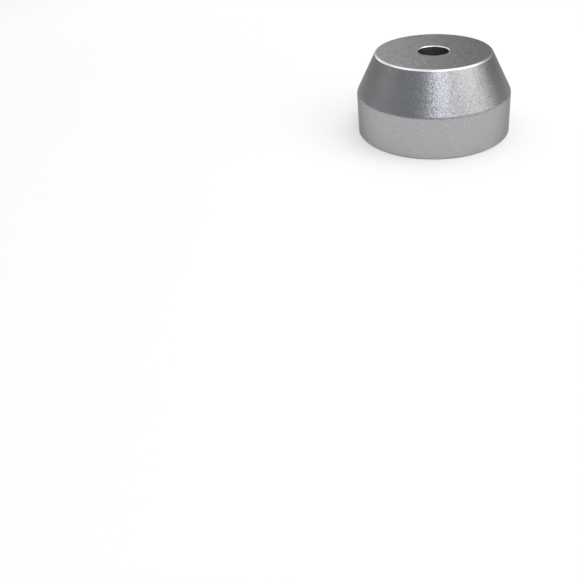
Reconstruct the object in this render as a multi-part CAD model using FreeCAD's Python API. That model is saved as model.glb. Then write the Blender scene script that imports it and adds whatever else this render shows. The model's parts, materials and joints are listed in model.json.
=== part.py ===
"""Record spindle adapter: a solid aluminium plug, turned in one piece.

A straight wall fills the large centre hole of a record, a cone above it guides the record down,
and a bore through the middle slides over the spindle of the turntable.
The frame has +Z up along the spindle axis, with its origin at the centre of the base.
"""

import FreeCAD, Part
import math
import os

# Driving dimensions, in millimetres
SEAT_DIAMETER = 38.0     # straight wall that the record sits round
SEAT_HEIGHT = 10.2       # base to shoulder
TOTAL_HEIGHT = 20.0      # base to top face
TOP_DIAMETER = 28.4      # cone at the height of the top face, before the edge is cut
BORE_DIAMETER = 7.5      # clears a 7.2 mm spindle
TOP_CHAMFER = 0.35       # cut at 45 degrees round the top face
BORE_CHAMFER = 0.2       # cut at 45 degrees round both mouths of the bore
BASE_CHAMFER = 0.3       # cut at 45 degrees round the foot of the straight wall
SHOULDER_ROUND = 1.4     # radius where the straight wall turns into the cone

NODE = "adapter_body"


def point(radius, height):
    """A point of the half-section, in the XZ plane."""
    return FreeCAD.Vector(radius, 0, height)


def shoulder_arc():
    """The arc that is tangent to the straight wall and to the cone."""
    wall_radius = SEAT_DIAMETER / 2
    lean = math.atan2(wall_radius - TOP_DIAMETER / 2, TOTAL_HEIGHT - SEAT_HEIGHT)
    tangent = SHOULDER_ROUND * math.tan(lean / 2)
    centre = point(wall_radius - SHOULDER_ROUND, SEAT_HEIGHT - tangent)

    def on_arc(angle):
        return centre + point(SHOULDER_ROUND * math.cos(angle), SHOULDER_ROUND * math.sin(angle))

    return Part.Arc(on_arc(0), on_arc(lean / 2), on_arc(lean))


def half_section():
    """The outline of one side of the adapter, from the base round to the bore."""
    wall_radius = SEAT_DIAMETER / 2
    top_radius = TOP_DIAMETER / 2
    bore_radius = BORE_DIAMETER / 2
    mouth_radius = bore_radius + BORE_CHAMFER

    cone_slope = (wall_radius - top_radius) / (TOTAL_HEIGHT - SEAT_HEIGHT)
    rim_radius = top_radius + TOP_CHAMFER * cone_slope

    shoulder = shoulder_arc()
    foot = [
        point(mouth_radius, 0),
        point(wall_radius - BASE_CHAMFER, 0),
        point(wall_radius, BASE_CHAMFER),
        shoulder.StartPoint,
    ]
    crown = [
        shoulder.EndPoint,
        point(rim_radius, TOTAL_HEIGHT - TOP_CHAMFER),
        point(rim_radius - TOP_CHAMFER, TOTAL_HEIGHT),
        point(mouth_radius, TOTAL_HEIGHT),
        point(bore_radius, TOTAL_HEIGHT - BORE_CHAMFER),
        point(bore_radius, BORE_CHAMFER),
        point(mouth_radius, 0),
    ]
    edges = Part.makePolygon(foot).Edges + [shoulder.toShape()] + Part.makePolygon(crown).Edges
    return Part.Face(Part.Wire(edges))


def adapter_body():
    """The half-section turned once round the spindle axis."""
    base_centre = FreeCAD.Vector(0, 0, 0)
    spindle_axis = FreeCAD.Vector(0, 0, 1)
    turned = half_section().revolve(base_centre, spindle_axis, 360)
    return Part.Solid(turned.Shells[0])


os.makedirs("parts", exist_ok=True)
body = adapter_body()
body.exportStep(os.path.join("parts", NODE + ".step"))
print(NODE, "valid", body.isValid(), "volume", round(body.Volume / 1000, 3), "cm3")
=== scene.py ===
"""Looks of the record spindle adapter: one turned piece of aluminium, bead-blasted and clear anodised,
with bright-cut edges round the top face and round the bore. Everything is in metres, with +Z up.
"""

import json
import math

import bmesh
import bpy
from mathutils import Matrix, Vector


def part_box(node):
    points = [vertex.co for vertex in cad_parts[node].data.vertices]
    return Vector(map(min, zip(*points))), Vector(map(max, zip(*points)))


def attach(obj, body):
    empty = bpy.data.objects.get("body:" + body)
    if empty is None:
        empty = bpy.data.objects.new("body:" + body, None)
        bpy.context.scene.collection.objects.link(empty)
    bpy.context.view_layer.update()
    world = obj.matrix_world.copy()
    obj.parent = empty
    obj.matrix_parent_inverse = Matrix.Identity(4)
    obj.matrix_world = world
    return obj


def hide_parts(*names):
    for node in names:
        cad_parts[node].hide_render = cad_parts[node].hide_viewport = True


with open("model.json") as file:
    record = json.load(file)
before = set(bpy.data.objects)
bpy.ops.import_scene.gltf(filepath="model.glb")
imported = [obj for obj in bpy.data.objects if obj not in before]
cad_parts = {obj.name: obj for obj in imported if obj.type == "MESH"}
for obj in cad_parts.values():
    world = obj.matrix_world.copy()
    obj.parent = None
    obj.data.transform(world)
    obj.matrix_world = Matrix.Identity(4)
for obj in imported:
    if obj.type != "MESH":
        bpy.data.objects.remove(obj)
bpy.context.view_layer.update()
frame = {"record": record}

MM = 0.001
NODE = "adapter_body"

# The turned section: overall sizes come from the frame, the rest repeats the part's own sizes
BASE, TOP = (corner.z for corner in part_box(NODE))
MOUNTS = {mount["name"]: mount["dims"] for mount in frame["record"]["mounts"]}
WALL_RADIUS = MOUNTS["record_seat"]["r_mm"] * MM
BORE_RADIUS = MOUNTS["spindle_bore"]["r_mm"] * MM
BORE_CHAMFER = (TOP - BASE - MOUNTS["spindle_bore"]["length_mm"] * MM) / 2
SHOULDER_HEIGHT = 10.2 * MM
TOP_RADIUS = 14.2 * MM
TOP_CHAMFER = 0.35 * MM
BASE_CHAMFER = 0.3 * MM
SHOULDER_ROUND = 1.4 * MM

# How soft the sharp edges are, and how finely the section is rounded and spun
EDGE_SOFTNESS = 0.04 * MM
EDGE_SEGMENTS = 3
SHOULDER_SEGMENTS = 8
TURN_STEPS = 512
MERGE_DISTANCE = 0.0005 * MM

# The finishes, in the order of the mesh's material slots
FINISHES = ["blasted_sides", "blasted_top", "bright_cut", "bore_wall_painted_shade", "turned_base"]

# Limits on the upward part of a face's normal, by which a face gets its finish
UPRIGHT = 0.3     # a face of the bore's wall is below this
CUT_EDGE = 0.5    # the cone is below this, the cut round the top face above it
LEVEL = 0.99      # the top face is above this, and the underside below its negative

# The blasted skin: size and tilt of its dents, and a grey that varies a little from place to place
SIDES_GRAIN = 0.15 * MM
SIDES_TILT = 0.19
TOP_GRAIN = 0.20 * MM
TOP_TILT = 0.25
BLASTED_GREY = (0.420, 0.422, 0.426)
TONE_SPREAD = 0.075
TONE_PATCH = 0.25 * MM
TONE_DETAIL = 1.0
TONE_RANGE = (0.25, 0.75)    # values of the noise at the darkest and the lightest grey

# How much of the light the metal still gives back at a glancing look
EDGE_TINT = 0.45

# The camera stands in front of the object, turned, dipped and rolled to frame it as the photograph does
CAMERA_DISTANCE = 0.15188
CAMERA_HEIGHT = 0.06789
CAMERA_TURN = math.radians(5.63)
CAMERA_DIP = math.radians(28.22)
CAMERA_ROLL = math.radians(-2.40)
CAMERA_LENS = 40.0           # millimetres, as the sensor is
CAMERA_SENSOR = 36.0
CAMERA_SHIFT = (-0.15, -0.20)
CAMERA_NEAREST = 0.01

# Studio light: azimuth is counted from the camera's side towards +X, in degrees as elevation is
WORLD_LEVEL = 0.16
SOFTBOXES = [
    # name, azimuth, elevation, distance, width, height, brightness, colour
    ("overhead_softbox", 0, 88, 0.60, 1.20, 0.70, 0.47, (1.0, 1.0, 1.0)),
    ("front_softbox", 14, 43, 0.80, 0.25, 0.61, 2.9, (0.90, 0.91, 1.0)),
    ("front_fill", 334, 29, 0.80, 0.45, 0.40, 0.085, (0.25, 0.50, 1.0)),
    ("mid_softbox", 42, 34, 0.80, 0.28, 0.43, 0.60, (1.0, 1.0, 1.0)),
    ("side_softbox", 72, 34, 0.32, 0.26, 0.22, 1.30, (1.0, 1.0, 1.0)),
    ("right_softbox", 122, 62, 0.80, 0.75, 0.60, 1.05, (1.0, 1.0, 0.95)),
    ("back_softbox", 180, 50, 0.80, 0.28, 0.28, 0.90, (1.0, 1.0, 1.0)),
    ("back_low_softbox", 196, 28, 0.35, 0.16, 0.14, 0.98, (1.0, 1.0, 1.0)),
    ("back_left_softbox", 225, 24, 0.50, 0.21, 0.18, 1.35, (1.0, 1.0, 1.0)),
    ("left_softbox", 252, 42, 0.80, 0.50, 0.45, 0.60, (1.0, 1.0, 1.0)),
    ("high_left_softbox", 290, 58, 0.80, 0.45, 0.36, 0.78, (1.0, 1.0, 1.0)),
    ("low_left_softbox", 280, 15, 0.80, 0.75, 0.20, 0.27, (0.85, 0.90, 1.0)),
]
WATTS_PER_BRIGHTNESS = 4.0   # for each square metre of a panel

# The floor: white near the object, with part of that white its own, and the studio's grey far away
FLOOR_RADIUS = 6.0
FLOOR_SEGMENTS = 96
FLOOR_PAPER = 0.9
FLOOR_OWN_WHITE = 0.3
FLOOR_WHITE_WITHIN = 0.18
FLOOR_GREY_BEYOND = 0.70


def grey(level):
    """An opaque neutral colour."""
    return (level, level, level, 1)


def add_node(tree, kind, **settings):
    """Adds a node and sets its properties."""
    node = tree.nodes.new("ShaderNode" + kind)
    for name, value in settings.items():
        setattr(node, name, value)
    return node


def math_node(tree, operation, *values):
    """Adds a Math node; each value is a socket or a number."""
    node = add_node(tree, "Math", operation=operation)
    for socket, value in zip(node.inputs, values):
        if isinstance(value, (int, float)):
            socket.default_value = value
        else:
            tree.links.new(value, socket)
    return node.outputs[0]


def start_group(name, inputs, outputs):
    """Starts a shader node group with named sockets; returns it with its inner ends."""
    group = bpy.data.node_groups.new(name, "ShaderNodeTree")
    for direction, sockets in (("INPUT", inputs), ("OUTPUT", outputs)):
        for socket, kind in sockets.items():
            group.interface.new_socket(name=socket, socket_type="NodeSocket" + kind, in_out=direction)
    entry = group.nodes.new("NodeGroupInput")
    result = group.nodes.new("NodeGroupOutput")
    return group, entry.outputs, result.inputs


def make_blast_grain():
    """Node group of the bead-blasted skin: small tilted facets that sparkle, and an uneven tone."""
    group, given, result = start_group("blast_grain", {"Grain Size": "Float", "Tilt": "Float"},
                                       {"Normal": "Vector", "Tone": "Float"})
    place = add_node(group, "TexCoord").outputs["Object"]

    facets = add_node(group, "TexVoronoi", feature="F1")
    group.links.new(place, facets.inputs["Vector"])
    facets_per_metre = math_node(group, "DIVIDE", 1.0, given["Grain Size"])
    group.links.new(facets_per_metre, facets.inputs["Scale"])
    lean = add_node(group, "VectorMath", operation="SUBTRACT")
    group.links.new(facets.outputs["Color"], lean.inputs[0])
    lean.inputs[1].default_value = (0.5, 0.5, 0.5)
    tilted = add_node(group, "VectorMath", operation="SCALE")
    group.links.new(lean.outputs[0], tilted.inputs[0])
    group.links.new(given["Tilt"], tilted.inputs["Scale"])
    leaning = add_node(group, "VectorMath", operation="ADD")
    group.links.new(tilted.outputs[0], leaning.inputs[0])
    group.links.new(add_node(group, "NewGeometry").outputs["Normal"], leaning.inputs[1])
    normal = add_node(group, "VectorMath", operation="NORMALIZE")
    group.links.new(leaning.outputs[0], normal.inputs[0])
    group.links.new(normal.outputs[0], result["Normal"])

    tone = add_node(group, "TexNoise")
    group.links.new(place, tone.inputs["Vector"])
    tone.inputs["Scale"].default_value = 1 / TONE_PATCH
    tone.inputs["Detail"].default_value = TONE_DETAIL
    group.links.new(tone.outputs["Fac"], result["Tone"])
    return group


def make_turning_rings():
    """Node group of the marks that a turning tool leaves: fine rings round the axis."""
    group, given, result = start_group("turning_rings", {"Feed": "Float"}, {"Height": "Float"})
    place = add_node(group, "SeparateXYZ")
    group.links.new(add_node(group, "TexCoord").outputs["Object"], place.inputs[0])
    x, y, z = place.outputs
    x_squared = math_node(group, "MULTIPLY", x, x)
    y_squared = math_node(group, "MULTIPLY", y, y)
    radius = math_node(group, "SQRT", math_node(group, "ADD", x_squared, y_squared))
    along = math_node(group, "SUBTRACT", radius, z)
    turns = math_node(group, "DIVIDE", along, given["Feed"])
    wave = math_node(group, "SINE", math_node(group, "MULTIPLY", turns, 2 * math.pi))
    group.links.new(wave, result["Height"])
    return group


def place_group(tree, group, **values):
    """Places a node group in a material with its own values."""
    node = add_node(tree, "Group", node_tree=group)
    for name, value in values.items():
        node.inputs[name.replace("_", " ")].default_value = value
    return node.outputs


def new_metal(name, colour, roughness):
    """A metal with one plain shader; its finish is linked on afterwards."""
    material = bpy.data.materials.new(name)
    material.use_nodes = True
    shader = material.node_tree.nodes["Principled BSDF"]
    shader.inputs["Base Color"].default_value = (*colour, 1)
    shader.inputs["Metallic"].default_value = 1.0
    shader.inputs["Roughness"].default_value = roughness
    shader.inputs["Specular Tint"].default_value = grey(EDGE_TINT)
    return material, material.node_tree, shader


def link_rings(tree, shader, rings, feed, depth):
    """Cuts turning rings into the shader's surface, depth metres each way and feed metres apart."""
    bump = add_node(tree, "Bump")
    bump.inputs["Strength"].default_value = 1.0
    bump.inputs["Distance"].default_value = depth
    tree.links.new(place_group(tree, rings, Feed=feed)["Height"], bump.inputs["Height"])
    tree.links.new(bump.outputs["Normal"], shader.inputs["Normal"])


def link_tone(tree, shader, tone, colour, spread):
    """Varies the shader's base colour round the given one with the tone."""
    ramp = add_node(tree, "ValToRGB")
    for element, position, change in zip(ramp.color_ramp.elements, TONE_RANGE, (-spread, spread)):
        element.position = position
        element.color = (*(part + change for part in colour), 1)
    tree.links.new(tone, ramp.inputs["Fac"])
    tree.links.new(ramp.outputs["Color"], shader.inputs["Base Color"])


def blasted_skin(name, grain, size, tilt):
    """Clear anodised, bead-blasted aluminium: soft grey with a sparkle of fine dents."""
    material, tree, shader = new_metal(name, colour=BLASTED_GREY, roughness=0.37)
    skin = place_group(tree, grain, Grain_Size=size, Tilt=tilt)
    tree.links.new(skin["Normal"], shader.inputs["Normal"])
    link_tone(tree, shader, skin["Tone"], BLASTED_GREY, TONE_SPREAD)
    return material


def bright_cut(rings):
    """The edges cut after anodising: bright bare metal with fine rings."""
    material, tree, shader = new_metal("bright_cut", colour=(0.76, 0.76, 0.77), roughness=0.40)
    link_rings(tree, shader, rings, feed=0.06 * MM, depth=0.0006 * MM)
    return material


def bore_wall_painted_shade(rings):
    """The bore: anodised over the marks of the boring tool, in a grey darker than the blasted skin that
    is painted shade deepening the dark inside the bore.
    """
    material, tree, shader = new_metal("bore_wall_painted_shade", colour=(0.27, 0.27, 0.275), roughness=0.36)
    link_rings(tree, shader, rings, feed=0.12 * MM, depth=0.004 * MM)
    return material


def turned_base(rings):
    """The underside: faced in the lathe and anodised."""
    material, tree, shader = new_metal("turned_base", colour=(0.44, 0.44, 0.445), roughness=0.34)
    link_rings(tree, shader, rings, feed=0.15 * MM, depth=0.003 * MM)
    return material


def bevel_corners(bm, corners, offset, segments):
    """Rounds corners of the flat half-section."""
    bmesh.ops.bevel(bm, geom=corners, offset=offset, offset_type="OFFSET", segments=segments,
                    profile=0.5, affect="VERTICES", material=-1)


def draw_half_section(bm):
    """One side of the adapter as a closed outline in the XZ plane, with its corners rounded."""
    slope = (WALL_RADIUS - TOP_RADIUS) / (TOP - SHOULDER_HEIGHT)
    rim_radius = TOP_RADIUS + TOP_CHAMFER * slope
    mouth_radius = BORE_RADIUS + BORE_CHAMFER
    shoulder = (WALL_RADIUS, SHOULDER_HEIGHT)
    outline = [
        (mouth_radius, BASE),
        (WALL_RADIUS - BASE_CHAMFER, BASE),
        (WALL_RADIUS, BASE + BASE_CHAMFER),
        shoulder,
        (rim_radius, TOP - TOP_CHAMFER),
        (rim_radius - TOP_CHAMFER, TOP),
        (mouth_radius, TOP),
        (BORE_RADIUS, TOP - BORE_CHAMFER),
        (BORE_RADIUS, BASE + BORE_CHAMFER),
    ]
    corners = [bm.verts.new((radius, 0, height)) for radius, height in outline]
    bm.faces.new(corners)
    shoulder_corner = corners.pop(outline.index(shoulder))
    shoulder_cut = SHOULDER_ROUND * math.tan(math.atan(slope) / 2)
    bevel_corners(bm, [shoulder_corner], shoulder_cut, SHOULDER_SEGMENTS)
    bevel_corners(bm, corners, EDGE_SOFTNESS, EDGE_SEGMENTS)
    bmesh.ops.delete(bm, geom=list(bm.faces), context="FACES_ONLY")


def finish_of(face):
    """The index of the finish that a face of the turned body has."""
    middle = face.calc_center_median()
    upward = face.normal.z
    in_bore = math.hypot(middle.x, middle.y) < BORE_RADIUS + BORE_CHAMFER
    on_top_cut = middle.z > TOP - TOP_CHAMFER and CUT_EDGE < upward < LEVEL
    if in_bore and abs(upward) < UPRIGHT:
        return FINISHES.index("bore_wall_painted_shade")
    if in_bore or on_top_cut:
        return FINISHES.index("bright_cut")
    if upward < -LEVEL:
        return FINISHES.index("turned_base")
    if upward > LEVEL:
        return FINISHES.index("blasted_top")
    return FINISHES.index("blasted_sides")


def turn_body(materials):
    """The whole adapter, spun from its half-section."""
    bm = bmesh.new()
    draw_half_section(bm)
    bmesh.ops.spin(bm, geom=list(bm.verts) + list(bm.edges), cent=(0, 0, 0), axis=(0, 0, 1),
                   angle=2 * math.pi, steps=TURN_STEPS, use_merge=True)
    bmesh.ops.remove_doubles(bm, verts=list(bm.verts), dist=MERGE_DISTANCE)
    bmesh.ops.recalc_face_normals(bm, faces=list(bm.faces))
    for face in bm.faces:
        face.smooth = True
        face.material_index = finish_of(face)
    mesh = bpy.data.meshes.new("turned_adapter")
    bm.to_mesh(mesh)
    bm.free()
    for name in FINISHES:
        mesh.materials.append(materials[name])
    body = bpy.data.objects.new("turned_adapter", mesh)
    bpy.context.scene.collection.objects.link(body)
    body.modifiers.new("flat_faces_stay_flat", "WEIGHTED_NORMAL")
    return body


def glow(tree, level):
    """A grey that shines by itself."""
    node = add_node(tree, "Emission")
    node.inputs["Color"].default_value = grey(level)
    return node.outputs["Emission"]


def mix_shaders(tree, share, first, second):
    """Blends two shaders; the share is how much of the second is seen."""
    node = add_node(tree, "MixShader")
    for socket, value in zip(node.inputs, (share, first, second)):
        tree.links.new(value, socket)
    return node.outputs["Shader"]


def floor_material():
    """A white floor that keeps a light shadow and fades into the grey of the studio far away."""
    material = bpy.data.materials.new("studio_floor")
    material.use_nodes = True
    tree = material.node_tree
    tree.nodes.clear()
    paper = add_node(tree, "BsdfDiffuse")
    paper.inputs["Color"].default_value = grey(FLOOR_PAPER)

    rays = add_node(tree, "LightPath").outputs
    seen = math_node(tree, "ADD", rays["Is Camera Ray"], rays["Is Glossy Ray"])
    seen = math_node(tree, "ADD", seen, rays["Is Transmission Ray"])
    own_white = math_node(tree, "MULTIPLY", seen, FLOOR_OWN_WHITE)
    near = mix_shaders(tree, own_white, paper.outputs["BSDF"], glow(tree, 1.0))

    distance = add_node(tree, "VectorMath", operation="LENGTH")
    tree.links.new(add_node(tree, "TexCoord").outputs["Object"], distance.inputs[0])
    fade = add_node(tree, "MapRange", interpolation_type="SMOOTHSTEP")
    tree.links.new(distance.outputs["Value"], fade.inputs["Value"])
    fade.inputs["From Min"].default_value = FLOOR_WHITE_WITHIN
    fade.inputs["From Max"].default_value = FLOOR_GREY_BEYOND
    whole = mix_shaders(tree, fade.outputs["Result"], near, glow(tree, WORLD_LEVEL))
    tree.links.new(whole, add_node(tree, "OutputMaterial").inputs["Surface"])
    return material


def lay_floor():
    """The plain pale floor that the adapter stands on."""
    bm = bmesh.new()
    bmesh.ops.create_circle(bm, cap_ends=True, segments=FLOOR_SEGMENTS, radius=FLOOR_RADIUS)
    mesh = bpy.data.meshes.new("floor")
    bm.to_mesh(mesh)
    bm.free()
    mesh.materials.append(floor_material())
    floor = bpy.data.objects.new("floor", mesh)
    bpy.context.scene.collection.objects.link(floor)


def hang_softbox(name, azimuth, elevation, distance, width, height, brightness, colour):
    """A soft rectangular light that faces the middle of the object's base."""
    lamp = bpy.data.lights.new(name, "AREA")
    lamp.shape = "RECTANGLE"
    lamp.size = width
    lamp.size_y = height
    lamp.color = colour
    lamp.energy = brightness * width * height * WATTS_PER_BRIGHTNESS
    turn = math.radians(azimuth)
    lift = math.radians(elevation)
    outward = math.cos(lift)
    away = Vector((math.sin(turn) * outward, -math.cos(turn) * outward, math.sin(lift)))
    softbox = bpy.data.objects.new(name, lamp)
    softbox.location = away * distance
    softbox.rotation_mode = "QUATERNION"
    softbox.rotation_quaternion = away.to_track_quat("Z", "Y")
    softbox.visible_camera = False
    bpy.context.scene.collection.objects.link(softbox)


def light_studio():
    """The soft panels and the even grey round them."""
    for softbox in SOFTBOXES:
        hang_softbox(*softbox)
    world = bpy.data.worlds.new("studio")
    world.use_nodes = True
    world.node_tree.nodes["Background"].inputs["Color"].default_value = grey(WORLD_LEVEL)
    bpy.context.scene.world = world


def set_camera():
    """The photograph's viewing angle and framing."""
    data = bpy.data.cameras.new("camera")
    data.sensor_width = CAMERA_SENSOR
    data.lens = CAMERA_LENS
    data.shift_x, data.shift_y = CAMERA_SHIFT
    data.clip_start = CAMERA_NEAREST
    camera = bpy.data.objects.new("camera", data)
    camera.matrix_world = (Matrix.Translation((0, -CAMERA_DISTANCE, CAMERA_HEIGHT))
                           @ Matrix.Rotation(CAMERA_TURN, 4, "Z")
                           @ Matrix.Rotation(math.pi / 2 - CAMERA_DIP, 4, "X")
                           @ Matrix.Rotation(CAMERA_ROLL, 4, "Z"))
    bpy.context.scene.collection.objects.link(camera)
    bpy.context.scene.camera = camera


grain = make_blast_grain()
rings = make_turning_rings()
materials = {
    "blasted_sides": blasted_skin("blasted_sides", grain, SIDES_GRAIN, SIDES_TILT),
    "blasted_top": blasted_skin("blasted_top", grain, TOP_GRAIN, TOP_TILT),
    "bright_cut": bright_cut(rings),
    "bore_wall_painted_shade": bore_wall_painted_shade(rings),
    "turned_base": turned_base(rings),
}

adapter = turn_body(materials)
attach(adapter, "root")
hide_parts(NODE)

lay_floor()
light_studio()
set_camera()
bpy.context.scene.view_settings.view_transform = "Standard"
